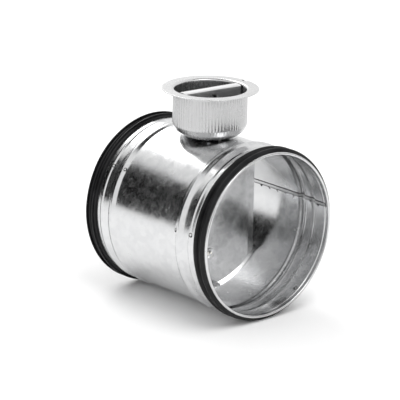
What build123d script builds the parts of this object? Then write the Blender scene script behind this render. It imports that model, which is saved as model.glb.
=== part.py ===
"""Circular volume control damper for a 125 mm ventilation duct.

A sheet-steel casing with a double-lip rubber seal on each spigot carries a turning blade. The blade
hangs between a spindle at the top and a pivot pin at the bottom. The spindle comes up into a deep
fluted cup, where an inverted channel serves as handle and pointer. Two screws in arc slots lock the
setting.

Frame: millimetres, +X along the duct towards the front spigot, +Z up through the cup. The origin is
where the duct axis meets the spindle axis. The blade stands a few degrees from closed.
"""

import os
from math import asin, cos, degrees, radians, sin, sqrt

from build123d import *

# ---------------------------------------------------------------- driving dimensions
# Casing
spigot_radius = 62.1  # outside of the spigots, which slide into a 125 mm duct
casing_sheet = 0.7
casing_half_length = 66.5
bead_start = 33.8  # stop bead, measured from the middle of the duct
bead_width = 6.8
bead_height = 1.6
ridge_position = 48.6  # small ridge before the seal seat
ridge_width = 2.6
ridge_height = 0.5
seat_length = 13.4  # from the end of the casing to the back of the seal
seat_depth = 1.5
hem_radius = 1.0  # outside of the rolled end
hem_return = 1.0  # straight part of the hem that clamps the seal
seam_width = 2.5
seam_thickness = 0.35
seam_angle = 11.0  # above the horizontal, on the +Y side

# Seals
lip_height = 2.5  # the lips stand this far above the spigot
lip_thickness = 1.1
lip_lean = 1.6  # how far each tip leans back from its root
front_lip_tip = 3.2  # tips, measured from the end of the casing
rear_lip_tip = 9.8
seal_base_thickness = 1.3
seal_foot_thickness = 0.45

# Blade and brackets
blade_gap = 2.2  # between the blade and the bore, so that it clears the wall on its way round
blade_sheet = 1.0
blade_offset = 5.85  # front face behind the spindle axis
blade_side_cut = 12.45  # the sides are cut straight this far in from the round edge
fold_strip = 4.75  # width of the bent strip along each side
fold_angle = 4.0
bracket_sheet = 1.2
bracket_top_half_width = 8.0  # at the end of the leg
bracket_foot_half_width = 10.0
bracket_leg_length = 26.4
upper_foot_inset = 2.8  # outer faces of the feet, in from the blade's round edge
lower_foot_inset = 3.4
foot_reach = 7.0  # in front of the spindle axis
blade_rivet_radius = 1.6
blade_rivet_spacing = 10.4
blade_rivet_margin = 4.0  # from the end of the leg
rest_opening = 6.0  # degrees that the blade stands open
full_opening = 90.0  # degrees from closed to open

# Spindle and its bearing
journal_radius = 4.0
square_side = 5.4
thread_radius = 2.5
bush_wall = 1.5
bush_flange_radius = 8.0
bush_flange_thickness = 1.0
bush_flange_drop = 0.6  # below the crown of the casing's inner wall
upset_radius = 4.0  # riveted-over lower end
upset_height = 2.2

# Lower pivot
pin_radius = 2.5
pin_collar_radius = 4.4
pin_head_radius = 5.0
pin_head_height = 1.3
pin_tail_radius = 2.9
pivot_bush_wall = 1.0
pivot_bush_flange_radius = 5.2
pivot_bush_flange_thickness = 1.1

# Cup
cup_sheet = 0.7
cup_lift = 0.6  # floor above the crown of the casing
cup_radius = 27.5  # at the crests of the flutes
cup_floor_inset = 6.1  # edge of the flat floor, in from the crests
cup_height = 34.1  # floor to flange
cup_toe_inset = 2.1  # bend between floor and cone
cup_toe_height = 3.0
cup_cone_height = 7.2
flange_width = 8.3  # beyond the crests of the flutes
flange_fillet = 1.5
flute_count = 72
flute_depth = 0.32
flute_top_margin = 3.4  # smooth neck under the flange
notch_width = 3.2
notch_depth = 3.0
saddle_seal_inner_radius = 7.6
saddle_seal_outer_radius = 12.0

# Setting gear in the cup
friction_washer_thickness = 1.2
friction_washer_radius = 9.5
dial_inset = 1.4  # in from the edge of the cup's flat floor
dial_sheet = 1.2
lock_inset = 3.5  # the lock screws' circle, in from the edge of the dial plate
lock_angle = 135.0  # world angle of the first lock screw
lock_screw_radius = 2.0
lock_head_radius = 3.4
lock_head_height = 2.3
lock_washer_radius = 3.8
lock_washer_thickness = 0.8
lock_slot_gap = 0.3
lock_gap = 0.15  # under the washers, as the screws stand loosened
cross_recess_depth = 1.2
cross_recess_width = 0.8
cup_rivet_x = 15.5
cup_rivet_y = 4.0
cup_rivet_radius = 1.6
cup_rivet_head_radius = 2.5
cup_rivet_head_height = 0.8
handle_width = 6.6
handle_sheet = 0.8
handle_end_gap = 1.05  # between the corners of the handle and the cup's wall
handle_drop = 0.4  # top of the handle below the flange
handle_foot_width = 3.8
handle_foot_inset = 3.0  # ends of the feet, in from the edge of the dial plate
handle_foot_rivet_y = 11.0
handle_rivet_radius = 1.1
handle_rivet_head_radius = 1.6
handle_end_lift = 1.5  # web ends above the cone of the cup
window_width = 10.0
window_top_drop = 7.2  # under the top of the handle
nut_across_flats = 8.0
nut_height = 4.0
spring_washer_thickness = 1.2
spring_washer_radius = 4.5
thread_stub = 1.4

fit_gap = 0.05  # round pieces of one body that seat in each other
running_gap = 0.06  # shafts in bearings
bend_radius = 0.5

# ---------------------------------------------------------------- derived sizes
bore_radius = spigot_radius - casing_sheet
lip_radius = spigot_radius + lip_height
blade_radius = bore_radius - blade_gap
blade_half_width = blade_radius - blade_side_cut
fold_half_width = blade_half_width - fold_strip
upper_foot_height = blade_radius - upper_foot_inset
lower_foot_height = blade_radius - lower_foot_inset
seat_radius = spigot_radius - seat_depth
seat_start = casing_half_length - seat_length
hem_centre = (casing_half_length - hem_radius, seat_radius - casing_sheet + hem_radius)
cup_floor = spigot_radius + cup_lift
cup_floor_top = cup_floor + cup_sheet
flange_top = cup_floor + cup_height
dial_bottom = cup_floor_top + friction_washer_thickness
dial_top = dial_bottom + dial_sheet
handle_top = flange_top - handle_drop
cup_floor_radius = cup_radius - cup_floor_inset
cup_toe_radius = cup_radius - cup_toe_inset
flange_radius = cup_radius + flange_width
neck_radius = cup_radius - flute_depth  # smooth wall outside, where there are no flutes
dial_radius = cup_floor_radius - dial_inset
lock_radius = dial_radius - lock_inset
handle_reach = neck_radius - cup_sheet - handle_end_gap  # of the handle's corners
handle_half_length = sqrt(handle_reach**2 - (handle_width / 2) ** 2)
handle_foot_half_length = dial_radius - handle_foot_inset
bush_radius = journal_radius + running_gap + bush_wall
bush_hole_radius = bush_radius + fit_gap
bush_flange_top = bore_radius - bush_flange_drop
pivot_bush_radius = pin_radius + running_gap + pivot_bush_wall
lock_slot_width = 2 * (lock_screw_radius + lock_slot_gap)


# ---------------------------------------------------------------- helpers
def revolved(*edges):
    """Solid of revolution about the duct axis, from a closed outline in (x, radius)."""
    return revolve(Plane.XZ * make_face(edges), Axis.X)


def turned(*points):
    """Solid of revolution about the spindle axis, from corner points in (radius, z)."""
    return revolve(Plane.XZ * make_face(Polyline(*points, close=True)), Axis.Z)


def upright(radius, low, high, x=0.0, y=0.0):
    """Vertical cylinder between two heights."""
    return Pos(x, y, low) * Cylinder(radius, high - low, align=(Align.CENTER, Align.CENTER, Align.MIN))


def upright_box(width, depth, low, high, x=0.0, y=0.0):
    """Vertical box between two heights, centred on (x, y)."""
    return Pos(x, y, low) * Box(width, depth, high - low, align=(Align.CENTER, Align.CENTER, Align.MIN))


def both_ends(front):
    """A front piece and its mirror image at the rear."""
    return front + mirror(front, Plane.YZ)


def at_rest(piece):
    """Turns a piece of the blade from closed to its rest position."""
    return piece.rotate(Axis.Z, -rest_opening)


# ---------------------------------------------------------------- casing
def bump_arc(start, width, base, height):
    """Arc of a pressed bead on a wall of the given radius."""
    return ThreePointArc((start, base), (start + width / 2, base + height), (start + width, base))


def casing_outline(radius, inset):
    """One side of the sheet, from the middle of the duct to the seal seat. inset is 0 outside."""
    ridge_start = ridge_position - ridge_width / 2
    bead = bump_arc(bead_start + inset / 2, bead_width - inset, radius, bead_height)
    ridge = bump_arc(ridge_start, ridge_width, radius, ridge_height)
    step_start = (seat_start - inset, radius)
    return [
        Line((0, radius), bead @ 0),
        bead,
        Line(bead @ 1, ridge @ 0),
        ridge,
        Line(ridge @ 1, step_start),
        Line(step_start, (seat_start - inset, radius - seat_depth)),
    ]


def make_casing():
    """Casing shell with stop beads, seal seats, rolled ends and the lap seam."""
    outer = casing_outline(spigot_radius, 0)
    inner = casing_outline(bore_radius, casing_sheet)
    cx, cr = hem_centre
    gap_radius = hem_radius - casing_sheet
    roll = CenterArc((cx, cr), hem_radius, -90, 180)
    roll_inside = CenterArc((cx, cr), gap_radius, -90, 180)
    flap_end = cx - hem_return
    hem = [
        Line(outer[-1] @ 1, roll_inside @ 0),
        roll_inside,
        Line(roll_inside @ 1, (flap_end, cr + gap_radius)),
        Line((flap_end, cr + gap_radius), (flap_end, cr + hem_radius)),
        Line((flap_end, cr + hem_radius), roll @ 1),
        roll,
        Line(roll @ 0, inner[-1] @ 1),
    ]
    middle = Line((0, bore_radius), (0, spigot_radius))
    shell = both_ends(revolved(*outer, *inner, *hem, middle))

    seam_low = bore_radius - seam_thickness
    seam_ring = Cylinder(bore_radius + casing_sheet / 2, 2 * seat_start, rotation=(0, 90, 0))
    seam_ring -= Cylinder(seam_low, 2 * seat_start, rotation=(0, 90, 0))
    wedge = Rot(X=seam_angle) * Pos(0, bore_radius, 0) * Box(2 * seat_start, 4, seam_width)
    shell += seam_ring & wedge

    shell -= upright(bush_hole_radius, 0, spigot_radius + 1)
    shell -= upright(pin_tail_radius + fit_gap, -spigot_radius - 1, 0)
    for x, y in cup_rivet_places():
        shell -= upright(cup_rivet_radius + fit_gap, 0, spigot_radius + 1, x, y)
    return shell


def make_front_seal():
    """Rubber ring with two lips that lean back from the end."""
    base = seat_radius + fit_gap
    top = seat_radius + seal_base_thickness
    back = seat_start + fit_gap
    flap_end = hem_centre[0] - hem_return - fit_gap
    foot_end = hem_centre[0]
    foot_top = base + seal_foot_thickness

    def lip(tip):
        """Corners of one lip, from its front root to its back root."""
        tip_x = casing_half_length - tip
        root = tip_x + lip_lean
        return [
            (root, top),
            (tip_x + lip_thickness / 2, lip_radius - lip_thickness / 2),
            (tip_x, lip_radius),
            (tip_x - lip_thickness / 2, lip_radius - lip_thickness / 2),
            (root - 2 * lip_thickness, top),
        ]

    front = lip(front_lip_tip)
    front[0] = (flap_end, top)
    corners = [
        (back, base),
        (foot_end, base),
        (foot_end, foot_top),
        (flap_end, foot_top),
        *front,
        *lip(rear_lip_tip),
        (back, top),
    ]
    return revolved(Polyline(*corners, close=True))


# ---------------------------------------------------------------- blade
def make_blade():
    """Disc with straight sides, each bent along a fold."""
    fold = fold_half_width
    reach = blade_half_width - fold
    tip = (reach * sin(radians(fold_angle)), fold + reach * cos(radians(fold_angle)))
    face = [(0, 0), (0, fold), tip]
    back_tip = (tip[0] - blade_sheet, tip[1])
    section = make_face(Polyline(*face, back_tip, (-blade_sheet, fold), (-blade_sheet, 0), close=True))
    section += mirror(section, Plane.XZ)
    sheet = Pos(-blade_offset, 0, -blade_radius) * extrude(section, 2 * blade_radius)
    sheet &= Cylinder(blade_radius, 4 * blade_offset, rotation=(0, 90, 0))
    for x, y, z in blade_rivet_places():
        sheet -= Pos(x, y, z) * Cylinder(blade_rivet_radius + fit_gap, 4, rotation=(0, 90, 0))
    return at_rest(sheet)


def bracket_rivet_places(foot_height):
    """Centres of one bracket's two rivets, on the front face of the blade. They lie above the middle."""
    height = foot_height - bracket_leg_length + blade_rivet_margin
    return [(-blade_offset, side * blade_rivet_spacing / 2, height) for side in (-1, 1)]


def blade_rivet_places():
    """Centres of the four rivets, the upper bracket's above the middle and the lower bracket's below."""
    below = [(x, y, -z) for x, y, z in bracket_rivet_places(lower_foot_height)]
    return bracket_rivet_places(upper_foot_height) + below


def make_bracket(foot_height):
    """Angle bracket above the middle: a tapered leg on the blade and a foot across the spindle axis."""
    front = -blade_offset + bracket_sheet
    leg_end = foot_height - bracket_leg_length
    leg_outline = Polyline(
        (-bracket_top_half_width, leg_end),
        (bracket_top_half_width, leg_end),
        (bracket_foot_half_width, foot_height),
        (-bracket_foot_half_width, foot_height),
        close=True,
    )
    leg = extrude(Plane.YZ.offset(-blade_offset) * make_face(leg_outline), bracket_sheet)
    foot_length = foot_reach + blade_offset
    foot_middle = foot_reach - foot_length / 2
    foot = upright_box(
        foot_length, 2 * bracket_foot_half_width, foot_height - bracket_sheet, foot_height, foot_middle
    )
    corners = foot.edges().filter_by(Axis.Z).sort_by(Axis.X)[-2:]
    bracket = leg + fillet(corners, 4 * bracket_sheet)
    inside_bend = bracket.edges().filter_by(Axis.Y).filter_by_position(Axis.X, front - 0.01, front + 0.01)
    bracket = fillet(inside_bend.sort_by(Axis.Z)[1], bend_radius)
    for x, y, z in bracket_rivet_places(foot_height):
        bracket -= Pos(x, y, z) * Cylinder(blade_rivet_radius + fit_gap, 4, rotation=(0, 90, 0))
    return bracket


def make_upper_bracket():
    """Bracket with a square hole for the spindle."""
    hole = square_side + 2 * fit_gap
    return at_rest(make_bracket(upper_foot_height) - upright_box(hole, hole, 0, bore_radius))


def make_lower_bracket():
    """Bracket with a round hole for the pivot bush."""
    bracket = make_bracket(lower_foot_height) - upright(pivot_bush_radius + fit_gap, 0, bore_radius)
    return at_rest(mirror(bracket, Plane.XY))


def make_blade_rivets():
    """Four rivets that hold the brackets to the blade."""
    head_radius = 1.9 * blade_rivet_radius
    head_height = 0.7 * blade_rivet_radius
    rivets = []
    for x, y, z in blade_rivet_places():
        front = x + bracket_sheet
        back = x - blade_sheet
        rivet = turned(
            (0, back - head_height),
            (0.6 * head_radius, back - head_height),
            (head_radius, back),
            (blade_rivet_radius, back),
            (blade_rivet_radius, front),
            (head_radius, front),
            (0.85 * head_radius, front + 0.6 * head_height),
            (0.45 * head_radius, front + head_height),
            (0, front + head_height),
        )
        rivets.append(at_rest(Pos(0, y, z) * Rot(Y=90) * rivet))
    return Compound(children=rivets)


# ---------------------------------------------------------------- spindle and bearings
def make_spindle():
    """Stub spindle: riveted end, lower square, journal, upper square and thread."""
    foot_low = upper_foot_height - bracket_sheet
    spindle = upright_box(square_side, square_side, foot_low, upper_foot_height + fit_gap)
    spindle += turned(
        (0, foot_low - upset_height),
        (0.6 * upset_radius, foot_low - upset_height),
        (upset_radius, foot_low - 0.4 * upset_height),
        (upset_radius, foot_low),
        (0, foot_low),
    )
    spindle += upright(journal_radius, upper_foot_height + fit_gap, dial_bottom)
    spindle += upright_box(square_side, square_side, dial_bottom, dial_top)
    spindle += upright(thread_radius, dial_top, spindle_end())
    spindle = chamfer(spindle.edges().group_by(Axis.Z)[-1], 0.5)
    return at_rest(spindle)


def spindle_end():
    """Height of the thread's end."""
    return dial_top + spring_washer_thickness + nut_height + thread_stub


def make_upper_bush():
    """Flanged plastic bush through the casing, the saddle seal and the cup floor."""
    bore = journal_radius + running_gap
    flange_low = bush_flange_top - bush_flange_thickness
    return turned(
        (bore, flange_low),
        (bush_flange_radius, flange_low),
        (bush_flange_radius, bush_flange_top),
        (bush_radius, bush_flange_top),
        (bush_radius, cup_floor_top),
        (bore, cup_floor_top),
    )


def make_pivot_pin():
    """Shouldered pin riveted into the bottom of the casing."""
    collar_top = -lower_foot_height - pivot_bush_flange_thickness - lock_gap
    collar_low = -sqrt(bore_radius**2 - pin_collar_radius**2) + fit_gap
    head_top = -spigot_radius - fit_gap
    end = -lower_foot_height + bracket_sheet + 2 * pin_radius
    return turned(
        (0, head_top - pin_head_height),
        (0.7 * pin_head_radius, head_top - pin_head_height),
        (pin_head_radius, head_top - 0.4 * pin_head_height),
        (pin_head_radius, head_top),
        (pin_tail_radius, head_top),
        (pin_tail_radius, collar_low),
        (pin_collar_radius, collar_low),
        (pin_collar_radius, collar_top),
        (pin_radius, collar_top),
        (pin_radius, end - 0.5),
        (pin_radius - 0.5, end),
        (0, end),
    )


def make_pivot_bush():
    """Flanged bush pressed up into the lower bracket, which turns on the pin."""
    bore = pin_radius + running_gap
    foot_low = -lower_foot_height
    return turned(
        (bore, foot_low - pivot_bush_flange_thickness),
        (pivot_bush_flange_radius, foot_low - pivot_bush_flange_thickness),
        (pivot_bush_flange_radius, foot_low),
        (pivot_bush_radius, foot_low),
        (pivot_bush_radius, foot_low + bracket_sheet + 0.6),
        (bore, foot_low + bracket_sheet + 0.6),
    )


# ---------------------------------------------------------------- cup
def flute_ring(crest, low, high):
    """Solid prism with scalloped flutes whose crests lie at the given radius."""
    step = 360 / flute_count
    root = crest - flute_depth
    arcs = []
    for i in range(flute_count):
        start, middle, end = ((i + share) * step for share in (0, 0.5, 1))
        corners = ((root, start), (crest, middle), (root, end))
        arcs.append(ThreePointArc(*[(r * cos(radians(a)), r * sin(radians(a))) for r, a in corners]))
    return Pos(0, 0, low) * extrude(make_face(arcs), high - low)


def cup_body(inset, low):
    """Solid turned body of the cup, inset by a sheet thickness for its inside, without flutes or flange."""
    smooth = neck_radius - inset
    toe = (cup_toe_radius - inset, cup_floor + cup_toe_height + inset / 3)
    floor = (cup_floor_radius - inset / 2, low)
    neck_top = flange_top + 1
    bend = ThreePointArc(floor, ((floor[0] + 2 * toe[0]) / 3, low + (toe[1] - low) * 0.35), toe)
    outline = [
        Line((0, low), floor),
        bend,
        Line(toe, (smooth, cup_floor + cup_cone_height)),
        Line((smooth, cup_floor + cup_cone_height), (smooth, neck_top)),
        Line((smooth, neck_top), (0, neck_top)),
        Line((0, neck_top), (0, low)),
    ]
    return revolve(Plane.XZ * make_face(outline), Axis.Z)


def make_cup():
    """Deep-drawn cup: fluted wall, coned toe, flat floor and a rolled flange with a setting notch."""
    flute_low = cup_floor + cup_cone_height
    flute_high = flange_top - flute_top_margin
    outside = cup_body(0, cup_floor) & upright(2 * cup_radius, cup_floor, flange_top)
    outside += flute_ring(cup_radius, flute_low, flute_high)
    flange = upright(flange_radius, flange_top - cup_sheet, flange_top)
    flange = fillet(flange.edges().group_by(Axis.Z)[0], 0.3)
    flange += turned(
        (0, flange_top - cup_sheet - flange_fillet),
        (neck_radius, flange_top - cup_sheet - flange_fillet),
        (neck_radius + 0.45 * flange_fillet, flange_top - cup_sheet - 0.45 * flange_fillet),
        (neck_radius + flange_fillet, flange_top - cup_sheet),
        (0, flange_top - cup_sheet),
    )
    cup = outside + flange
    cup -= cup_body(cup_sheet, cup_floor_top)
    inner_neck = neck_radius - cup_sheet
    cup -= turned(
        (0, flange_top - flange_fillet),
        (inner_neck, flange_top - flange_fillet),
        (inner_neck + 0.3 * flange_fillet, flange_top - 0.45 * flange_fillet),
        (inner_neck + flange_fillet, flange_top + fit_gap),
        (0, flange_top + fit_gap),
    )
    cup -= upright(bush_hole_radius, cup_floor - 1, cup_floor_top + 1)
    notch = upright_box(notch_width, 2 * notch_depth, flange_top - 2, flange_top + 1, 0, flange_radius)
    cup -= fillet(notch.edges().filter_by(Axis.Z).sort_by(Axis.Y)[:2], notch_width / 2 - 0.1)
    for x, y in cup_rivet_places():
        cup -= upright(cup_rivet_radius + fit_gap, cup_floor - 1, cup_floor_top + 1, x, y)
    for x, y in lock_places():
        cup -= upright(lock_screw_radius + fit_gap, cup_floor - 1, cup_floor_top + 1, x, y)
    return cup


def make_saddle_seal():
    """Foam ring between the flat floor of the cup and the round casing."""
    ring = upright(saddle_seal_outer_radius, spigot_radius - 2, cup_floor)
    ring -= upright(saddle_seal_inner_radius, spigot_radius - 3, cup_floor + 1)
    return ring - Cylinder(spigot_radius + fit_gap, 4 * cup_radius, rotation=(0, 90, 0))


def cup_rivet_places():
    """Centres of the four rivets through the cup floor."""
    return [(x, y) for x in (-cup_rivet_x, cup_rivet_x) for y in (-cup_rivet_y, cup_rivet_y)]


def make_cup_rivets():
    """Four flat blind rivets that fix the cup to the casing."""
    rivets = []
    for x, y in cup_rivet_places():
        rivet = upright(cup_rivet_radius, bore_radius - 1.6, cup_floor_top, x, y)
        rivet += upright(cup_rivet_head_radius, cup_floor_top, cup_floor_top + cup_rivet_head_height, x, y)
        blind_top = sqrt(bore_radius**2 - (cup_rivet_y + cup_rivet_head_radius) ** 2) - fit_gap
        rivet += upright(1.35 * cup_rivet_radius, blind_top - 1.6, blind_top, x, y)
        rivets.append(rivet)
    return Compound(children=rivets)


# ---------------------------------------------------------------- setting gear
def lock_places():
    """Centres of the two lock screws, which stay still in the cup floor."""
    return [
        (lock_radius * cos(radians(a)), lock_radius * sin(radians(a))) for a in (lock_angle, lock_angle + 180)
    ]


def make_friction_washer():
    """Fibre washer between the cup floor and the dial plate."""
    washer = upright(friction_washer_radius, cup_floor_top, dial_bottom)
    return at_rest(washer - upright(journal_radius + running_gap, cup_floor, dial_top))


def arc_slot(middle_angle):
    """Cutter for an arc slot that lets a lock screw pass over the whole setting range."""
    swing = full_opening + 2 * degrees(asin(lock_slot_gap / lock_radius))
    start = middle_angle - swing / 2
    inner, outer = lock_radius - lock_slot_width / 2, lock_radius + lock_slot_width / 2
    sides = [CenterArc((0, 0), r, start, swing) for r in (inner, outer)]
    ends = []
    for share, turn in ((0, -1), (1, 1)):
        angle = radians(start + share * swing)
        beyond = angle + turn * lock_slot_width / 2 / lock_radius
        middle = (lock_radius * cos(beyond), lock_radius * sin(beyond))
        ends.append(ThreePointArc(sides[0] @ share, middle, sides[1] @ share))
    return Pos(0, 0, dial_bottom - 1) * extrude(make_face([*sides, *ends]), dial_sheet + 2)


def make_dial_plate():
    """Round plate on the spindle's upper square, with two arc slots for the lock screws."""
    plate = upright(dial_radius, dial_bottom, dial_top)
    hole = square_side + 2 * fit_gap
    plate -= upright_box(hole, hole, dial_bottom - 1, dial_top + 1)
    for middle_angle in (0, 180):
        plate -= arc_slot(middle_angle)
    for x, y in handle_rivet_places():
        plate -= upright(handle_rivet_radius + fit_gap, dial_bottom - 1, dial_top + 1, x, y)
    return at_rest(plate)


def handle_rivet_places():
    """Centres of the four rivets through the handle's feet."""
    x = handle_width / 2 + handle_foot_width / 2
    return [(sx * x, sy * handle_foot_rivet_y) for sx in (-1, 1) for sy in (-1, 1)]


def make_handle():
    """Inverted channel across the cup: top bar, two webs with an arched window, and out-turned feet."""
    half = handle_width / 2
    foot_top = dial_top + handle_sheet
    channel = upright_box(handle_width, 2 * handle_half_length, dial_top + fit_gap, handle_top)
    channel = fillet(channel.edges().filter_by(Axis.Y).group_by(Axis.Z)[-1], handle_sheet + 0.3)
    hollow = upright_box(
        handle_width - 2 * handle_sheet, 2 * handle_half_length + 1, dial_top, handle_top - handle_sheet
    )
    channel -= hollow
    feet = upright_box(
        handle_width + 2 * handle_foot_width, 2 * handle_foot_half_length, dial_top + fit_gap, foot_top
    )
    feet -= upright_box(handle_width - 2 * handle_sheet, 2 * handle_half_length, dial_top - 1, foot_top + 1)
    feet = fillet(feet.edges().filter_by(Axis.Z).group_by(SortBy.DISTANCE)[-1], handle_foot_width / 2)
    handle = channel + feet
    web_end_low = cup_floor + cup_cone_height + handle_end_lift
    for side in (-1, 1):
        beyond_feet = side * (handle_foot_half_length + handle_half_length)
        handle -= upright_box(handle_width + 1, 2 * handle_half_length, dial_top, web_end_low, 0, beyond_feet)
    arch_centre = handle_top - window_top_drop - window_width / 2
    window = upright_box(2 * handle_width + 4 * handle_foot_width, window_width, dial_top - 1, arch_centre)
    window += Pos(0, 0, arch_centre) * Cylinder(window_width / 2, 2 * dial_radius, rotation=(0, 90, 0))
    handle -= window
    for x, y in handle_rivet_places():
        handle -= upright(handle_rivet_radius + fit_gap, dial_top - 1, foot_top + 1, x, y)
    return at_rest(handle)


def make_handle_rivets():
    """Four rivets that join the handle's feet to the dial plate."""
    foot_top = dial_top + handle_sheet
    rivets = []
    for x, y in handle_rivet_places():
        rivet = upright(handle_rivet_radius, dial_bottom, foot_top, x, y)
        rivet += Pos(x, y, 0) * turned(
            (0, foot_top),
            (handle_rivet_head_radius, foot_top),
            (handle_rivet_radius, foot_top + 0.8),
            (0, foot_top + 0.8),
        )
        rivets.append(at_rest(rivet))
    return Compound(children=rivets)


def make_spring_washer():
    """Split spring washer under the spindle nut."""
    washer = upright(spring_washer_radius, dial_top, dial_top + spring_washer_thickness)
    washer -= upright(thread_radius + fit_gap, dial_top - 1, dial_top + 3)
    split = Pos(0, spring_washer_radius / 2 + thread_radius / 2, dial_top) * Rot(Y=25) * Box(0.6, 3, 6)
    return at_rest(washer - split)


def make_spindle_nut():
    """Hexagon nut that clamps the dial plate to the spindle."""
    low = dial_top + spring_washer_thickness
    across_corners = nut_across_flats / cos(radians(30))
    nut = Pos(0, 0, low) * extrude(RegularPolygon(across_corners / 2, 6), nut_height)
    cone = turned(
        (0, low - 0.4),
        (across_corners / 2 - 0.2, low - 0.4),
        (across_corners / 2 + 0.6, low + 0.5),
        (across_corners / 2 + 0.6, low + nut_height - 0.5),
        (across_corners / 2 - 0.4, low + nut_height + 0.1),
        (0, low + nut_height + 0.1),
    )
    nut = nut & cone
    return at_rest(nut - upright(thread_radius + fit_gap, low - 1, low + nut_height + 1))


def make_lock_screw(place):
    """Cross-head screw with its washer, threaded into the cup floor."""
    x, y = place
    washer_low = dial_top + lock_gap
    washer_top = washer_low + lock_washer_thickness
    head_top = washer_top + lock_head_height
    screw = turned(
        (0, cup_floor - 1.0),
        (lock_screw_radius - 0.5, cup_floor - 1.0),
        (lock_screw_radius, cup_floor - 0.5),
        (lock_screw_radius, washer_low),
        (lock_washer_radius, washer_low),
        (lock_washer_radius, washer_top),
        (lock_head_radius, washer_top),
        (lock_head_radius, head_top - 1.0),
        (0.72 * lock_head_radius, head_top),
        (0, head_top),
    )
    for turn in (45, 135):
        recess_low = head_top - cross_recess_depth
        recess = upright_box(1.1 * lock_head_radius, cross_recess_width, recess_low, head_top + 1)
        screw -= Rot(Z=turn) * recess
    return Pos(x, y, 0) * screw


# ---------------------------------------------------------------- assembly
def main():
    front_seal = make_front_seal()
    lock_right, lock_left = (make_lock_screw(place) for place in lock_places())
    nodes = {
        "duct_casing": make_casing(),
        "front_seal": front_seal,
        "rear_seal": mirror(front_seal, Plane.YZ),
        "upper_bush": make_upper_bush(),
        "pivot_pin": make_pivot_pin(),
        "setting_cup": make_cup(),
        "saddle_seal": make_saddle_seal(),
        "cup_rivets": make_cup_rivets(),
        "damper_blade": make_blade(),
        "upper_bracket": make_upper_bracket(),
        "lower_bracket": make_lower_bracket(),
        "blade_rivets": make_blade_rivets(),
        "spindle": make_spindle(),
        "pivot_bush": make_pivot_bush(),
        "friction_washer": make_friction_washer(),
        "dial_plate": make_dial_plate(),
        "setting_handle": make_handle(),
        "handle_rivets": make_handle_rivets(),
        "spring_washer": make_spring_washer(),
        "spindle_nut": make_spindle_nut(),
        "lock_screw_left": lock_left,
        "lock_screw_right": lock_right,
    }
    os.makedirs("parts", exist_ok=True)
    for name, shape in nodes.items():
        export_step(shape, f"parts/{name}.step")


main()
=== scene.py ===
# %% [markdown]
# # A circular volume control damper
#
# The frame gives every working piece at its true size. Here the large sheet-metal and rubber pieces are
# made again with finer shapes, the small ones keep their solid and gain edges, and all of them get their
# finish.

import math

import bmesh
import bpy
from mathutils import Matrix, Vector, noise


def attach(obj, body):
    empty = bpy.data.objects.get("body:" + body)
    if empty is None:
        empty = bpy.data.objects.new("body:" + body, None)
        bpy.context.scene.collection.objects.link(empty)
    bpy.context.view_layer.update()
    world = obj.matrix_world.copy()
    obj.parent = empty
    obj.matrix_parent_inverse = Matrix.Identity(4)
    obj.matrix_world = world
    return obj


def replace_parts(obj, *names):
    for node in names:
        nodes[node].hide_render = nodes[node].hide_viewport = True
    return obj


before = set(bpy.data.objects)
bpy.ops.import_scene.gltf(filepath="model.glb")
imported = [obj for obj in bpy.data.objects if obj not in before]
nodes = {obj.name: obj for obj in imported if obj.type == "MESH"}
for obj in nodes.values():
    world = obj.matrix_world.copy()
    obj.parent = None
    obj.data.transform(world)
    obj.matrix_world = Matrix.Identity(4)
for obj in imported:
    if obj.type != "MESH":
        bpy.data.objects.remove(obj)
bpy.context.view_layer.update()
MM = 0.001
print("frame with", len(nodes), "nodes")

# %% [markdown]
# ## Sizes shared by several pieces
#
# All in millimetres, in the frame: +X towards the front spigot, +Z up the spindle. Sizes across the duct
# are radii. HALF is half the length, a hair less than the solid's, so that the rolled edge stays inside it.
# The handle and the blade stand six degrees from closed.

# %% Shared sizes
SPIGOT = 62.1
SHEET = 0.7
HALF = 66.49
SEAT_START = 53.1
SEAT = 60.6
HEM = 1.0
LIP = 64.6
CUP = 27.5
CUP_FLOOR = 62.7
FLANGE_TOP = 96.8
FLANGE = 35.8
REST = math.radians(-6)
print("duct", 2 * SPIGOT, "mm across and", 2 * HALF, "mm long")

# %% [markdown]
# ## Outlines
#
# Pressed and moulded pieces have no sharp corners. `rounded` takes corner points, each with its own radius,
# and returns the outline with arcs in their place. An arc needs the half angle between the two sides: the
# tangent points lie radius / tan(half angle) from the corner.


# %% Rounding an outline
def rounded(corners, segments=5, closed=False):
    """Outline points with an arc at every corner. Each corner is (across, along, radius)."""
    count = len(corners)
    points = []
    for i, (a, b, radius) in enumerate(corners):
        here = Vector((a, b))
        if radius == 0 or (not closed and i in (0, count - 1)):
            points.append(here)
            continue
        before = Vector(corners[i - 1][:2]) - here
        after = Vector(corners[(i + 1) % count][:2]) - here
        half_angle = before.angle(after) / 2
        reach = min(radius / math.tan(half_angle), 0.49 * before.length, 0.49 * after.length)
        radius = reach * math.tan(half_angle)
        inwards = (before.normalized() + after.normalized()).normalized()
        middle = here + inwards * (radius / math.sin(half_angle))
        start = here + before.normalized() * reach - middle
        turn = start.angle_signed(here + after.normalized() * reach - middle)
        for step in range(segments + 1):
            points.append(middle + Matrix.Rotation(-turn * step / segments, 2) @ start)
    return points


# %% [markdown]
# ## Turned shapes
#
# The casing, the seals and the cup are solids of revolution: an outline is drawn once and spun about its
# axis. With `use_merge` the last step joins the first, so the ring is closed. Afterwards the normals are
# made to point outwards, because a spin keeps whatever direction the outline had.


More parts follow.
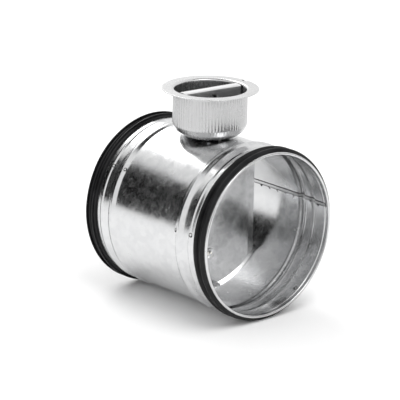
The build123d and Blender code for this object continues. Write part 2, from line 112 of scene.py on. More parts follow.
# %% Spinning an outline
def finish_mesh(bm, name, body, sharp=35):
    """Turns a bmesh in millimetres into a shaded piece that rides on a body."""
    bmesh.ops.recalc_face_normals(bm, faces=bm.faces)
    bmesh.ops.scale(bm, vec=(MM, MM, MM), verts=bm.verts)
    mesh = bpy.data.meshes.new(name)
    bm.to_mesh(mesh)
    bm.free()
    mesh.shade_smooth()
    mesh.set_sharp_from_angle(angle=math.radians(sharp))
    piece = bpy.data.objects.new(name, mesh)
    bpy.context.scene.collection.objects.link(piece)
    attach(piece, body)
    print(name, len(mesh.polygons), "faces")
    return piece


def spun(points, axis, steps):
    """Closed ring made by spinning a closed outline about X or Z."""
    bm = bmesh.new()
    ring = [bm.verts.new((p[0], 0, p[1])) for p in points]
    direction = (1, 0, 0) if axis == "X" else (0, 0, 1)
    edges = [bm.edges.new((ring[i - 1], ring[i])) for i in range(len(ring))]
    bmesh.ops.spin(
        bm, geom=ring + edges, cent=(0, 0, 0), axis=direction, angle=math.tau, steps=steps, use_merge=True
    )
    return bm


# %% [markdown]
# ## The casing
#
# The casing is one sheet, rolled into a tube. Two beads are pressed outwards as stops for the ducts, a
# small ridge stands before each seal, the spigot's end is drawn in to seat the rubber, and its edge is
# rolled back over the rubber's foot. The outside and the inside of the sheet follow the same line, one
# thickness apart. The points stand close together where the sheet bends and far apart where it is straight.
# The rear bead is pressed a little less deep. A cylinder with extra loops could be pushed into this shape
# too, but an outline shows every bend and its radius in one place.

# %% Beads and ridges
BEAD_PLACE, BEAD_WIDTH, FRONT_BEAD, REAR_BEAD = 37.2, 8.0, 1.5, 1.2
RIDGE_PLACE, RIDGE_WIDTH, RIDGE_HEIGHT = 48.6, 3.0, 0.45


def pressed(x):
    """How far the sheet is pressed outwards at this place along the duct."""
    bead_height = FRONT_BEAD if x > 0 else REAR_BEAD
    bead = (BEAD_PLACE, BEAD_WIDTH, bead_height)
    ridge = (RIDGE_PLACE, RIDGE_WIDTH, RIDGE_HEIGHT)
    lift = 0
    for middle, width, height in (bead, ridge):
        share = abs(abs(x) - middle) / (width / 2)
        if share < 1:
            lift += height * math.cos(share * math.pi / 2) ** 1.5
    return lift


# %% [markdown]
# The rolled edge is a half turn of the sheet with a short flap behind it. Just inside it a crimp line holds
# the rubber's foot: the sheet is pressed inwards by less than half a millimetre. One function draws either
# end, and the second is added backwards, so that the outline closes.

# %% Casing shell
STATIONS = [0, 6, 12, 18, 24, 29, 32]
STATIONS += [33.2 + 0.4 * i for i in range(21)]
STATIONS += [43, 45, 46.5]
STATIONS += [47 + 0.25 * i for i in range(14)]
CRIMP_PLACE, CRIMP_WIDTH, CRIMP_DEPTH = 62.6, 1.4, 0.45
FLAP = 2.0


def half_turn(centre, radius, count):
    """Points of the rolled edge, from the duct's side to the rubber's side."""
    angles = [math.pi * i / count for i in range(count + 1)]
    return [centre + radius * Vector((math.sin(a), -math.cos(a))) for a in angles]


def half_casing_outline(side):
    """Outline of one end (side 1 or -1): along the outside, round the rolled edge and back inside."""
    tube, seat = SPIGOT - SHEET, SEAT - SHEET
    outside = [Vector((x, SPIGOT + pressed(side * x))) for x in STATIONS]
    step = [(51, SPIGOT, 0), (SEAT_START, SPIGOT, 0.5), (SEAT_START, SEAT, 0.4), (60, SEAT, 0)]
    centre = Vector((HALF - HEM, seat + HEM))
    flap = [Vector((HALF - FLAP, seat + 2 * HEM - SHEET))]
    flap += [Vector((HALF - FLAP - 0.1, seat + 2 * HEM - SHEET / 2))]
    flap += [Vector((HALF - FLAP, seat + 2 * HEM))]
    back = [(64.6, seat, 0), (CRIMP_PLACE + CRIMP_WIDTH / 2, seat, 0.4)]
    back += [(CRIMP_PLACE, seat - CRIMP_DEPTH, 0.3), (CRIMP_PLACE - CRIMP_WIDTH / 2, seat, 0.4)]
    back += [(60, seat, 0), (SEAT_START - SHEET, seat, 0.5), (SEAT_START - SHEET, tube, 0.4), (51, tube, 0)]
    inside = [Vector((x, tube + pressed(side * x))) for x in reversed(STATIONS)]
    points = outside + rounded(step)[1:] + half_turn(centre, HEM - SHEET, 10) + flap
    points += half_turn(centre, HEM, 14)[::-1] + rounded(back)[:-1] + inside
    return [Vector((side * p.x, p.y)) for p in points]


front_half = half_casing_outline(1)
rear_half = half_casing_outline(-1)
bm = spun(front_half + rear_half[-2:0:-1], "X", 256)
casing = finish_mesh(bm, "casing_shell", "casing")
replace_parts(casing, "duct_casing")

# %% [markdown]
# ## The seam
#
# The tube is closed by a lap weld. Inside it shows as a flat strip between two lines of burnt zinc. A grid
# is bent onto the wall: its width runs round the duct and its length along it, over the beads and down to
# the seal's seat. The outer rows of faces get a slot of their own for the burnt lines, and their edge
# wanders a little, as a weld does. Cutting the seam into the tube's own mesh would need loops all along it,
# and a strip of its own doesn't.

# %% Lap seam
SEAM_ANGLE = math.radians(11)
SEAM_WIDTH, SEAM_HEIGHT, SEAM_LIFT = 3.6, 0.4, 0.02
bm = bmesh.new()
bmesh.ops.create_grid(bm, x_segments=120, y_segments=5, size=1)
for face in bm.faces:
    face.material_index = 1 if abs(face.calc_center_median().y) > 0.7 else 0
for vert in bm.verts:
    x = vert.co.x * (HALF - 2.5)
    edge = abs(vert.co.y) ** 8
    wander = 0.3 * edge * noise.noise(Vector((x * 0.6, vert.co.y * 3, 0)))
    across = vert.co.y * (SEAM_WIDTH / 2 + wander)
    wall = SPIGOT - SHEET + pressed(x) + SEAM_LIFT
    if abs(x) > SEAT_START - SHEET:
        wall = SEAT - SHEET + SEAM_LIFT
    height = SEAM_HEIGHT * (1 - edge)
    angle = SEAM_ANGLE + across / wall
    vert.co = Vector((x, (wall - height) * math.cos(angle), (wall - height) * math.sin(angle)))
seam = finish_mesh(bm, "lap_seam", "casing", 60)

# %% [markdown]
# Welding leaves small runs of burnt metal below the lower edge, about every nine millimetres where the
# electrode stopped. Each is a few flattened spheres that get smaller as they run down. A bump texture would
# be cheaper, but it casts no shadow at the wall. The beads carry none. All are joined in one piece.

# %% Weld runs
RUN_SPACING = 8.9
bm = bmesh.new()
for stop in range(13):
    x = RUN_SPACING * stop - 52
    if abs(abs(x) - BEAD_PLACE) < 3.5:
        continue
    for drop in range(3):
        wobble = noise.noise(Vector((x * 0.37, drop * 0.7, 0.5)))
        size = (0.62 - 0.13 * drop) * (1 + 0.6 * wobble)
        wall = SPIGOT - SHEET if abs(x) < SEAT_START - 1 else SEAT - SHEET
        angle = SEAM_ANGLE - (SEAM_WIDTH / 2 + 0.55 * drop) / wall
        place = Vector((x + (0.5 + drop) * wobble, wall * math.cos(angle), wall * math.sin(angle)))
        flattened = Matrix.Rotation(angle, 4, "X") @ Matrix.Diagonal((0.9, 0.5, 1.1, 1))
        shape = Matrix.Translation(place) @ flattened
        bmesh.ops.create_icosphere(bm, subdivisions=2, radius=size, matrix=shape)
spatter = finish_mesh(bm, "weld_spatter", "casing", 60)

# %% [markdown]
# ## The seals
#
# A rubber ring with two lips. Each lip is thin, leans back from the duct's end and has a rounded tip, so
# that it bends over as the spigot is pushed in. Two tori joined to a band would look alike from far away,
# but the lips' slanted sides and hollow roots need an outline. A moulded ring is never quite true: a slow
# wave of a tenth of a millimetre round the ring keeps its highlights alive.


# %% Outline of a lip
RUBBER = 1.3
LIP_THICKNESS = 1.15


def lip(tip, lean):
    """Corners of one lip, from its front root to its back root. tip is measured from the duct's end."""
    x = HALF - tip
    return [
        (x + lean + 0.2, SEAT + RUBBER, 0.5),
        (x + 0.5 * LIP_THICKNESS, LIP, 0.45 * LIP_THICKNESS),
        (x - 0.45 * LIP_THICKNESS, LIP, 0.45 * LIP_THICKNESS),
        (x - 0.3, SEAT + 2.2, 1.2),
        (x - 1.2, SEAT + RUBBER, 0.9),
    ]


# %% [markdown]
# The foot of the ring lies under the rolled edge, and the body behind it nearly fills the recess. The rear
# seal is the front one mirrored. Afterwards its lips are loosened by the slow wave, most at their tips.


# %% Double-lip seals
def seal_ring(name, side):
    """A seal for one end. side is 1 at the front and -1 at the rear."""
    back, foot, shoulder = SEAT_START + 0.1, HALF - 1.0, HALF - 2.15
    corners = [(back, SEAT + 0.03, 0.3), (foot, SEAT + 0.03, 0.1), (foot, SEAT + 0.5, 0.1)]
    corners += [(shoulder, SEAT + 0.5, 0.1), (shoulder, SEAT + RUBBER, 0.3)]
    corners += lip(3.7, 1.1)[1:] + lip(9.9, 1.6)
    corners += [(back, SEAT + RUBBER - 0.05, 0.5)]
    outline = [Vector((side * p.x, p.y)) for p in rounded(corners, 5, True)]
    bm = spun(outline, "X", 256)
    for vert in bm.verts:
        angle = math.atan2(vert.co.z, vert.co.y)
        radius = math.hypot(vert.co.y, vert.co.z)
        loose = max(0, radius - SEAT - RUBBER) / 3
        wave = noise.noise(Vector((2.2 * math.cos(angle), 2.2 * math.sin(angle), side * 3)))
        droop = 0.12 * loose * (wave - 0.6)
        vert.co.y *= 1 + droop / radius
        vert.co.z *= 1 + droop / radius
        vert.co.x += side * 0.22 * loose * wave
    ring = finish_mesh(bm, name, "casing")
    return ring


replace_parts(seal_ring("front_lip_seal", 1), "front_seal")
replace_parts(seal_ring("rear_lip_seal", -1), "rear_seal")

# %% [markdown]
# ## The cup
#
# The cup is deep-drawn: a flat floor with a hole for the spindle, a cone at its toe, an upright wall and a
# wide flange. Its outline goes out along the underside and comes back along the inside, one thickness
# apart. Straight stretches of the wall get points of their own, about two millimetres apart, because the
# flutes need them.

# %% Cup outline
FLUTES, FLUTE_DEPTH = 72, 0.3
CUP_SHEET = 0.7
SPINDLE_HOLE = 5.6
neck = CUP - FLUTE_DEPTH - 0.02
underside = FLANGE_TOP - CUP_SHEET
corners = [(0, CUP_FLOOR, 0), (21.4, CUP_FLOOR, 2.5), (25.4, CUP_FLOOR + 3.4, 3), (neck, CUP_FLOOR + 7.6, 2)]
corners += [(neck, underside, 1.5), (FLANGE, underside, 0.33), (FLANGE, FLANGE_TOP, 0.33)]
corners += [(neck - CUP_SHEET, FLANGE_TOP, 1.7), (neck - CUP_SHEET, CUP_FLOOR + 8, 2)]
corners += [(24.8, CUP_FLOOR + 3.9, 3), (21.1, CUP_FLOOR + CUP_SHEET, 2.2), (0, CUP_FLOOR + CUP_SHEET, 0)]
outline = []
for point in rounded(corners, 6):
    if outline and outline[-1].x > 20 and point.x > 20:
        gap = point - outline[-1]
        pieces = int(gap.length // 2.2)
        outline += [outline[-1] + gap * (i + 1) / (pieces + 1) for i in range(pieces)]
    outline.append(point)
outline[0].x = outline[-1].x = SPINDLE_HOLE
print("cup outline", len(outline), "points")

# %% [markdown]
# The wall is pressed into many fine flutes, which stiffen it. They are made after the spin: every vertex of
# the wall moves outwards with its angle, and the flutes fade at the top and the bottom. Ten steps for each
# flute are enough to keep it round. A displacement texture would flute the wall as well, but the count and
# the fading are exact this way. A notch in the flange's edge marks the direction of the duct's
# cross-section: vertices beyond its outline are pulled back to it.

# %% Cup with flutes and notch
HALF_NOTCH, NOTCH_DEPTH = 1.9, 3.2
bm = spun(outline, "Z", FLUTES * 10)
for vert in bm.verts:
    angle = math.atan2(vert.co.y, vert.co.x)
    radius = math.hypot(vert.co.x, vert.co.y)
    foot = (vert.co.z - CUP_FLOOR - 5.2) / 3.5
    top = (FLANGE_TOP - 2.6 - vert.co.z) / 2.5
    window = max(0, min(1, foot)) * max(0, min(1, top))
    if radius < CUP + 1:
        pushed = radius + window * FLUTE_DEPTH / 2 * (1 + math.cos(angle * FLUTES))
        vert.co.x *= pushed / radius
        vert.co.y *= pushed / radius
    if radius > FLANGE - 4 and vert.co.y > 0 and abs(vert.co.x) < HALF_NOTCH:
        edge = FLANGE - NOTCH_DEPTH + HALF_NOTCH - math.sqrt(HALF_NOTCH**2 - vert.co.x**2)
        rim = math.sqrt(FLANGE**2 - vert.co.x**2) - vert.co.y
        if rim < 1:
            vert.co.y = edge - rim
cup = finish_mesh(bm, "drawn_cup", "casing", 40)
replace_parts(cup, "setting_cup")

# %% [markdown]
# ## The handle
#
# The handle is a strip bent into an inverted channel, with feet turned out at its foot. Its section is
# drawn once and pushed along the handle, which gives every bend its radius at once. An arched window over
# the nut and the lifted ends are cut with booleans, as a press would punch them, and the result is kept as
# a plain mesh so that no cutter stays in the scene.


# %% Cutting tools
def cut_away(piece, cutters):
    """Subtracts meshes given in millimetres from a piece."""
    for cutter in cutters:
        bmesh.ops.scale(cutter, vec=(MM, MM, MM), verts=cutter.verts)
        mesh = bpy.data.meshes.new("cutter")
        cutter.to_mesh(mesh)
        cutter.free()
        tool = bpy.data.objects.new("cutter", mesh)
        bpy.context.scene.collection.objects.link(tool)
        boolean = piece.modifiers.new("cut", "BOOLEAN")
        boolean.object = tool
        boolean.solver = "EXACT"
        bpy.context.view_layer.update()
        solid = piece.evaluated_get(bpy.context.evaluated_depsgraph_get())
        piece.modifiers.clear()
        piece.data = bpy.data.meshes.new_from_object(solid)
        bpy.data.objects.remove(tool)


def block(low, high):
    """Box between two corners."""
    bm = bmesh.new()
    bmesh.ops.create_cube(bm, size=1)
    bmesh.ops.scale(bm, vec=[b - a for a, b in zip(low, high)], verts=bm.verts)
    bmesh.ops.translate(bm, vec=[(a + b) / 2 for a, b in zip(low, high)], verts=bm.verts)
    return bm


# %% [markdown]
# Half of the section is listed and the other half is its mirror image. The windows are cut by a cylinder
# for the arch and a block below it, right through both webs. The webs' ends are lifted by two more blocks,
# so that they clear the cup's cone. The handle is made along Y and then turned to its rest position.

# %% Channel handle
HANDLE_TOP, HANDLE_FOOT, HANDLE_END = FLANGE_TOP - 0.4, 66.65, 25.2
HANDLE_SHEET, HALF_CHANNEL, HALF_FEET = 0.8, 3.3, 7.1
ARCH_TOP, ARCH_WIDTH = HANDLE_TOP - 3.9, 9.6
LIFT_START, LIFT_TOP = 17, 71.4
under_foot, inner = HANDLE_FOOT - HANDLE_SHEET, HALF_CHANNEL - HANDLE_SHEET
section = [(HALF_CHANNEL, HANDLE_TOP, 1.1), (HALF_CHANNEL, HANDLE_FOOT, 0.3)]
section += [(HALF_FEET, HANDLE_FOOT, 0.2), (HALF_FEET, under_foot, 0.2)]
section += [(inner, under_foot, 0.9), (inner, HANDLE_TOP - HANDLE_SHEET, 0.4)]
section += [(-across, up, radius) for across, up, radius in reversed(section)]
bm = bmesh.new()
ring = [bm.verts.new((p.x, -HANDLE_END, p.y)) for p in rounded(section, 4, True)]
face = bm.faces.new(ring)
pushed = bmesh.ops.extrude_face_region(bm, geom=[face])["geom"]
far_end = [item for item in pushed if isinstance(item, bmesh.types.BMVert)]
bmesh.ops.translate(bm, vec=(0, 2 * HANDLE_END, 0), verts=far_end)
handle = finish_mesh(bm, "channel_handle", "blade", 35)
half_arch = ARCH_WIDTH / 2
springing = ARCH_TOP - half_arch
lying = Matrix.Translation((0, 0, springing)) @ Matrix.Rotation(math.pi / 2, 4, "Y")
arch = bmesh.new()
bmesh.ops.create_cone(
    arch, cap_ends=True, segments=48, radius1=half_arch, radius2=half_arch, depth=30, matrix=lying
)
door = block((-15, -half_arch, 60), (15, half_arch, springing))
ends = [block((-15, LIFT_START, 60), (15, 30, LIFT_TOP)), block((-15, -30, 60), (15, -LIFT_START, LIFT_TOP))]
cut_away(handle, [arch, door, *ends])
handle.data.transform(Matrix.Rotation(REST, 4, "Z"))
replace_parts(handle, "setting_handle")

# %% [markdown]
# ## The spindle's thread
#
# The nut clamps the dial plate on a short thread. A thread is a small V carried round and up at once:
# `spin` does both when it gets an offset for every step. A Screw modifier does the same, but it would stay
# live. The core inside the thread is the spindle's own solid.

# %% Spindle thread
THREAD_LOW, THREAD_HIGH, PITCH = 69.4, 72.2, 0.8
CORE, CREST = 2.02, 2.46
STEPS_A_TURN = 32
bm = bmesh.new()
profile = ((CORE, 0), (CREST, 0.34), (CREST, 0.46), (CORE, PITCH))
ridge = [bm.verts.new((radius, 0, THREAD_LOW + up)) for radius, up in profile]
sides = [bm.edges.new((ridge[i], ridge[i + 1])) for i in range(3)]
turns = (THREAD_HIGH - THREAD_LOW) / PITCH
bmesh.ops.spin(
    bm, geom=ridge + sides, cent=(0, 0, 0), axis=(0, 0, 1), dvec=(0, 0, PITCH / STEPS_A_TURN),
    angle=math.tau * turns, steps=int(STEPS_A_TURN * turns),
)
thread = finish_mesh(bm, "spindle_thread", "blade", 50)

# %% [markdown]
# ## Edges of the small pieces
#
# Stamped, folded and turned pieces keep the solid from the frame. A narrow bevel gives each edge the thin
# highlight that a real one has. Hardened normals keep the flat faces flat beside it. A modifier is enough
# here, because the shapes are already right and only their edges change.

# %% Bevelled edges
kept = {
    "damper_blade": 0.12,
    "upper_bracket": 0.15,
    "lower_bracket": 0.15,
    "blade_rivets": 0.15,
    "spindle": 0.12,
    "pivot_bush": 0.1,
    "friction_washer": 0.1,
    "dial_plate": 0.12,
    "handle_rivets": 0.12,
    "spring_washer": 0.1,
    "spindle_nut": 0.15,
    "lock_screw_left": 0.12,
    "lock_screw_right": 0.12,
    "upper_bush": 0.12,
    "pivot_pin": 0.12,
    "saddle_seal": 0.2,
    "cup_rivets": 0.15,
}
for name, width in kept.items():
    piece = nodes[name]
    piece.data.shade_smooth()
    bevel = piece.modifiers.new("edges", "BEVEL")
    bevel.width = width * MM
    bevel.segments = 2
    bevel.limit_method = "ANGLE"
    bevel.angle_limit = math.radians(38)
    bevel.harden_normals = True
print("bevelled", len(kept), "pieces")


# %% [markdown]
# ## Writing shaders as sums
#
# `Field` is a value that changes over a surface, such as a noise. It wraps a node's output and has the
# usual operators, so `0.3 + 0.1 * cloud` builds the maths nodes. `node` adds any other node. Nodes could be
# placed one by one, but a sum reads like what it does.


# %% A value over a surface
class Field:
    """One output of a shader node, with arithmetic."""

    def __init__(self, tree, socket):
        self.tree = tree
        self.socket = socket

    def node(self, kind, output, inputs=None, **settings):
        """Adds a node, sets and links its inputs, and returns one output as a Field."""
        made = self.tree.nodes.new(kind)
        for key, value in settings.items():
            setattr(made, key, value)
        for key, value in (inputs or {}).items():
            if isinstance(value, Field):
                self.tree.links.new(value.socket, made.inputs[key])
            else:
                made.inputs[key].default_value = value
        return Field(self.tree, made.outputs[output])

    def math(self, operation, first, second=0.0, clamp=False):
        """A maths node on two values."""
        return self.node("ShaderNodeMath", 0, {0: first, 1: second}, operation=operation, use_clamp=clamp)

    def __add__(self, other):
        return self.math("ADD", self, other)

    def __radd__(self, other):
        return self.math("ADD", other, self)

    def __sub__(self, other):
        return self.math("SUBTRACT", self, other)

    def __rsub__(self, other):
        return self.math("SUBTRACT", other, self)

    def __mul__(self, other):
        return self.math("MULTIPLY", self, other)

    def __rmul__(self, other):
        return self.math("MULTIPLY", other, self)

    def ramp(self, low, high, start=0.0, end=1.0):
        """Smooth step: start below low, end above high."""
        ends = {0: self, 1: low, 2: high, 3: start, 4: end}
        return self.node("ShaderNodeMapRange", 0, ends, interpolation_type="SMOOTHSTEP")

    def mix(self, dark, light):
        """Colour between two others. self is the share of the second."""
        ends = {0: self}
        for index, colour in ((6, dark), (7, light)):
            ends[index] = colour if isinstance(colour, Field) else (*colour, 1)
        return self.node("ShaderNodeMix", 2, ends, data_type="RGBA")

    def noise(self, scale, detail=2.0, stretch=(1, 1, 1)):
        """Noise at this place, in cycles for each metre."""
        place = self.node("ShaderNodeMapping", 0, {0: self, 3: stretch})
        return self.node("ShaderNodeTexNoise", 0, {"Vector": place, "Scale": scale, "Detail": detail})


# %% [markdown]
# Every finish starts in the same way: constant values on the Principled shader, and the place on the
# surface in Object coordinates, which all patterns read. Then `feed` links what changes over the surface.


# %% Starting and feeding a material
def start_material(name, metallic, roughness, colour):
    """Material with constant values, its shader node, and the place on the surface."""
    material = bpy.data.materials.new(name)
    material.use_nodes = True
    tree = material.node_tree
    shader = tree.nodes["Principled BSDF"]
    shader.inputs["Metallic"].default_value = metallic
    shader.inputs["Roughness"].default_value = roughness
    shader.inputs["Base Color"].default_value = (*colour, 1)
    place = Field(tree, tree.nodes.new("ShaderNodeTexCoord").outputs["Object"])
    return material, shader, place


def feed(shader, **fields):
    """Links fields to the shader's inputs. An underscore stands for a space."""
    for key, field in fields.items():
        field.tree.links.new(field.socket, shader.inputs[key.replace("_", " ")])


def bump(height, distance):
    """Normal from a height field. distance is the height of one unit, in metres."""
    return height.node("ShaderNodeBump", 0, {"Height": height, "Distance": distance, "Strength": 1.0})


def tinted(shade, tint):
    """A grey of this shade with a slight tint, never above white."""
    return tuple(min(1, shade * part) for part in tint)


# %% [markdown]
# ## Galvanised sheet
#
# Hot-dip galvanising freezes in crystals, the spangle. Voronoi cells of some millimetres are the crystals:
# each cell has its own shade and its own roughness, so that some catch the light and their neighbours
# don't. On top lies a slow cloudiness and a very shallow unevenness that bends the reflections. Small round
# marks are where a tool pressed or welded the sheet: a ring darker than its middle, and a shallow dimple. A
# picture of spangle would repeat along the tube, and cells never do.


# %% Galvanised steel
def spot_mark(place, centre, radius):
    """1 in the middle of a round mark, 0 outside."""
    middle = [part * MM for part in centre]
    distance = place.node("ShaderNodeVectorMath", 1, {0: place, 1: middle}, operation="DISTANCE")
    return distance.ramp(0.3 * radius * MM, radius * MM, 1.0, 0.0)


def galvanised(name, shade, rough, marks=(), mottle=0.14, wave=0.5):
    """Spangled zinc. marks are (centre, radius), mottle varies the gloss and wave bends the sheet."""
    material, shader, place = start_material(name, 1.0, rough, (shade, shade, shade))
    wander = place.noise(260, 2)
    moved = place.node("ShaderNodeVectorMath", 0, {0: place, 1: wander * 0.0014}, operation="ADD")
    crystal = moved.node("ShaderNodeTexVoronoi", "Color", {"Vector": moved, "Scale": 240})
    grain = crystal.node("ShaderNodeSeparateColor", 0, {0: crystal})
    cloud = place.noise(38, 3)
    patch = place.noise(420, 2)
    tone = (0.55 * grain + 0.45 * cloud).ramp(0.2, 0.8)
    colour = tone.mix(tinted(shade, (0.94, 0.945, 0.955)), tinted(shade, (1.03, 1.035, 1.04)))
    gloss = rough + 0.05 * (grain - 0.5) + mottle * (patch - 0.5) + 0.1 * (cloud - 0.5)
    height = wave * place.noise(30, 1) + 0.003 * patch + 0.0006 * place.noise(2600, 2)
    for centre, radius in marks:
        mark = spot_mark(place, centre, radius)
        ring = mark * (1.0 - mark) * 4.0
        colour = ring.mix(colour, (0.08, 0.075, 0.07))
        height = height - 0.5 * mark
    feed(shader, Base_Color=colour, Roughness=gloss, Normal=bump(height, 0.0009))
    return material


# %% [markdown]
# The casing carries two pairs of spot welds on the -Y side, one at the foot of each bead and one on each
# ridge, and two crimp marks inside the front seat. Angles count upwards from the horizontal of the -Y side.


# %% The sheet's three steels
def on_wall(x, degrees, radius):
    """Point on the tube, from its place along the duct and its angle."""
    angle = math.radians(degrees)
    return (x, -radius * math.cos(angle), radius * math.sin(angle))


welds = [(on_wall(34.0, 8, SPIGOT + 0.3), 1.9), (on_wall(49.6, 8, SPIGOT), 2.0)]
welds += [(on_wall(-47.6, 35, SPIGOT), 1.7), (on_wall(-34.7, 35, SPIGOT + 0.3), 1.7)]
crimps = [(on_wall(60.0, 235, SEAT - SHEET), 2.0), (on_wall(60.0, 253, SEAT - SHEET), 1.6)]
casing.data.materials.append(galvanised("galvanised_casing", 0.67, 0.22, welds + crimps))
seam.data.materials.append(galvanised("galvanised_seam", 0.62, 0.33))
blade_steel = galvanised("galvanised_blade", 0.64, 0.19, mottle=0.04, wave=0.12)
print("marks on the casing:", len(welds + crimps))

# %% [markdown]
# ## Drawn satin steel
#
# Drawing stretches the zinc until the spangle is gone. What stays is a satin surface with fine upright drag
# lines, so the noise is stretched along Z on the wall. Anisotropic shading would stretch the highlights
# too, but it doesn't show the single lines. From the flange's height upwards the colour is painted paler:
# a painted highlight on the flange, which faces the light from above.


# %% Satin steel
def satin(name, shade, rough, stretch):
    """Drawn or rubbed zinc. stretch is smallest along the lines."""
    material, shader, place = start_material(name, 1.0, rough, (shade, shade, shade))
    lines = place.noise(900, 3, stretch)
    cloud = place.noise(60, 3)
    height = place.node("ShaderNodeSeparateXYZ", 2, {0: place})
    # Painted highlight: from about 95.4 mm upwards the colour is mixed towards a pale grey.
    painted_top_highlight = 0.3 * height.ramp(0.0954, 0.0962)
    tone = (0.5 * lines + 0.5 * cloud).ramp(0.25, 0.75)
    colour = tone.mix(tinted(shade, (0.9, 0.905, 0.91)), tinted(shade, (1.06, 1.06, 1.065)))
    colour = painted_top_highlight.mix(colour, (0.95, 0.95, 0.95))
    gloss = rough + 0.16 * (cloud - 0.5) + 0.06 * (lines - 0.5)
    grain = lines + 0.3 * place.noise(2400, 1)
    feed(shader, Base_Color=colour, Roughness=gloss, Normal=bump(grain, 0.00001))
    return material


cup.data.materials.append(satin("satin_cup", 0.55, 0.27, (1, 1, 0.06)))
handle_steel = satin("satin_handle", 0.8, 0.3, (1, 0.08, 1))
dial_steel = satin("satin_dial", 0.66, 0.34, (1, 1, 1))

# %% [markdown]
# ## Zinc plate, rubber and plastic
#
# Bright zinc has a faint blue and yellow cast in patches. Rubber is nearly black, with a dull bloom in
# clouds and a fine grain, and plastic is a little paler. The spatter at the seam is burnt, and darker than
# the sheet. All three black finishes differ only in their numbers, so one function makes them.


# %% Small finishes
def zinc_plate(name):
    """Bright zinc of screws, nuts and rivets."""
    material, shader, place = start_material(name, 1.0, 0.24, (0.7, 0.7, 0.7))
    cast = place.noise(420, 2)
    feed(shader, Base_Color=cast.ramp(0.35, 0.65).mix((0.64, 0.66, 0.7), (0.76, 0.74, 0.68)))
    feed(shader, Roughness=0.16 + 0.18 * place.noise(900, 2), Normal=bump(place.noise(1800, 2), 0.00002))
    return material


def black(name, dark, light, rough, grain):
    """A nearly black finish between two colours, with a bloom."""
    material, shader, place = start_material(name, 0.0, rough, dark)
    bloom = place.noise(90, 4)
    feed(shader, Base_Color=bloom.ramp(0.35, 0.75).mix(dark, light))
    feed(shader, Roughness=rough + 0.25 * (bloom - 0.5), Normal=bump(place.noise(grain, 2), 0.00003))
    shader.inputs["Specular IOR Level"].default_value = 0.25
    return material


zinc = zinc_plate("bright_zinc")
rubber = black("seal_rubber", (0.004, 0.004, 0.0045), (0.012, 0.012, 0.013), 0.34, 1500)
plastic = black("black_plastic", (0.012, 0.012, 0.012), (0.022, 0.022, 0.022), 0.5, 3000)
burnt = black("burnt_zinc", (0.015, 0.014, 0.013), (0.05, 0.048, 0.045), 0.6, 2000)

# %% [markdown]
# The new pieces get their material appended. A CAD node keeps one slot: everything is bright zinc at first,
# and the sheet, the dial plate and the plastic pieces are changed after that. The seam's second slot is
# burnt zinc.

# %% Giving the finishes out
for ring in ("front_lip_seal", "rear_lip_seal"):
    bpy.data.objects[ring].data.materials.append(rubber)
spatter.data.materials.append(burnt)
seam.data.materials.append(burnt)
handle.data.materials.append(handle_steel)
thread.data.materials.append(zinc)
finishes = {
    blade_steel: ["damper_blade", "upper_bracket", "lower_bracket"],
    dial_steel: ["dial_plate"],
    rubber: ["saddle_seal"],
    plastic: ["upper_bush", "pivot_bush", "friction_washer"],
}
for name in nodes:
    nodes[name].data.materials.clear()
    nodes[name].data.materials.append(zinc)
for material, names in finishes.items():
    for name in names:
        nodes[name].data.materials[0] = material
print("materials:", len(bpy.data.materials))

# %% [markdown]
# ## Floor, light and camera
#
# Metal shows what stands around it. The world is white to the camera and to the metal, and only gives a
# plain level of light to everything else. The floor carries a soft shadow. Places round the part are given
# as an azimuth from +X towards +Y and an elevation, both in degrees.


# %% Stage helpers
def towards(azimuth, elevation):
    """Direction from the origin."""
    a, e = math.radians(azimuth), math.radians(elevation)
    return Vector((math.cos(a) * math.cos(e), math.sin(a) * math.cos(e), math.sin(e)))


def plane(name, size, place, normal, colour):
    """A flat card or floor, facing along its normal."""
    bm = bmesh.new()
    bmesh.ops.create_grid(bm, x_segments=1, y_segments=1, size=0.5)
    bmesh.ops.scale(bm, vec=(size[0], size[1], 1), verts=bm.verts)
    turn = Vector(normal).to_track_quat("Z", "Y").to_matrix()
    bmesh.ops.rotate(bm, cent=(0, 0, 0), matrix=turn, verts=bm.verts)
    bmesh.ops.translate(bm, vec=place, verts=bm.verts)
    mesh = bpy.data.meshes.new(name)
    bm.to_mesh(mesh)
    bm.free()
    made = bpy.data.objects.new(name, mesh)
    bpy.context.scene.collection.objects.link(made)
    material, shader, where = start_material(name, 0.0, 0.6, colour)
    shade = where.noise(3, 1).ramp(0.2, 0.8)
    feed(shader, Base_Color=shade.mix(tuple(0.995 * c for c in colour), colour))
    shader.inputs["Specular IOR Level"].default_value = 0
    mesh.materials.append(material)
    return made


def black_card(name, size, azimuth, elevation, distance):
    """A card that only reflections see, facing the origin."""
    away = towards(azimuth, elevation)
    made = plane(name, size, away * distance, -away, (0.008, 0.008, 0.008))
    made.visible_camera = False
    made.visible_shadow = False
    made.visible_diffuse = False


def area_light(name, size, azimuth, elevation, distance, power):
    """A soft square lamp facing the origin."""
    away = towards(azimuth, elevation)
    lamp = bpy.data.lights.new(name, "AREA")
    lamp.shape = "SQUARE"
    lamp.size = size
    lamp.energy = power
    made = bpy.data.objects.new(name, lamp)
    made.location = away * distance
    made.rotation_euler = away.to_track_quat("Z", "Y").to_euler()
    bpy.context.scene.collection.objects.link(made)


# %% [markdown]
# A black card gives polished metal its dark stretches, and only reflections show it. Five stand round the
# part. The one on the left gives the barrel its dark band, and the others darken the cup, the side of the
# seals and the inside of the tube. Two soft lamps add highlights and the shadow.

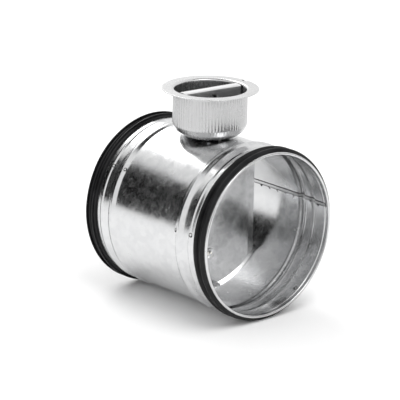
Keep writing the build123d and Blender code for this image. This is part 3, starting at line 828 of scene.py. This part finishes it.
# %% Floor, cards and lamps
plane("floor", (6, 6), (0, 0, -LIP * MM - 0.0002), (0, 0, 1), (0.95, 0.95, 0.95))
black_card("dark_card_left", (0.62, 0.44), 212, 17.5, 0.62)
black_card("dark_card_above", (0.46, 0.46), 0, 90, 0.55)
black_card("dark_card_camera", (0.62, 0.27), -32, 8, 0.8)
black_card("dark_card_right", (0.6, 0.3), 34, 9, 0.8)
black_card("dark_card_rear", (0.5, 0.25), 180, -8, 0.7)
area_light("key", 0.7, -20, 62, 1.3, 5)
area_light("fill", 0.8, 163, 42, 1.5, 7)

# %% [markdown]
# The world's strength is 1 where the camera, a reflection or a see-through surface looks at it, and 0.94
# for the light that falls on the part.

# %% World
world = bpy.data.worlds.new("studio")
bpy.context.scene.world = world
world.use_nodes = True
tree = world.node_tree
tree.nodes.clear()
paths = tree.nodes.new("ShaderNodeLightPath")
seen = Field(tree, paths.outputs["Is Camera Ray"]) + Field(tree, paths.outputs["Is Glossy Ray"])
seen = seen.math("ADD", seen, Field(tree, paths.outputs["Is Transmission Ray"]), clamp=True)
background = tree.nodes.new("ShaderNodeBackground")
background.inputs["Color"].default_value = (1, 1, 1, 1)
tree.links.new((0.94 + 0.06 * seen).socket, background.inputs["Strength"])
output = tree.nodes.new("ShaderNodeOutputWorld")
tree.links.new(background.outputs[0], output.inputs["Surface"])

# %% [markdown]
# The camera stands far away and looks slightly down, so the lines stay almost parallel. A tracking
# constraint would aim it too, but not roll it. Its axes are built from the direction it looks along, and
# then rolled by one degree.

# %% Camera
camera_data = bpy.data.cameras.new("camera")
camera_data.lens = 259.2
camera_data.sensor_width = 36
camera_data.clip_start = 0.1
camera_data.clip_end = 20
camera = bpy.data.objects.new("camera", camera_data)
bpy.context.scene.collection.objects.link(camera)
azimuth, roll = math.radians(-42.31), math.radians(1.16)
back = towards(-42.31, 17.13)
level = Vector((-math.sin(azimuth), math.cos(azimuth), 0))
upright = back.cross(level)
right = math.cos(roll) * level + math.sin(roll) * upright
up = math.cos(roll) * upright - math.sin(roll) * level
axes = Matrix((right, up, back)).transposed().to_4x4()
camera.matrix_world = Matrix.Translation((1.4992, -1.3727, 0.6374)) @ axes
scene = bpy.context.scene
scene.camera = camera
scene.view_settings.view_transform = "Standard"
print("camera", round(camera.location.length, 2), "m away")
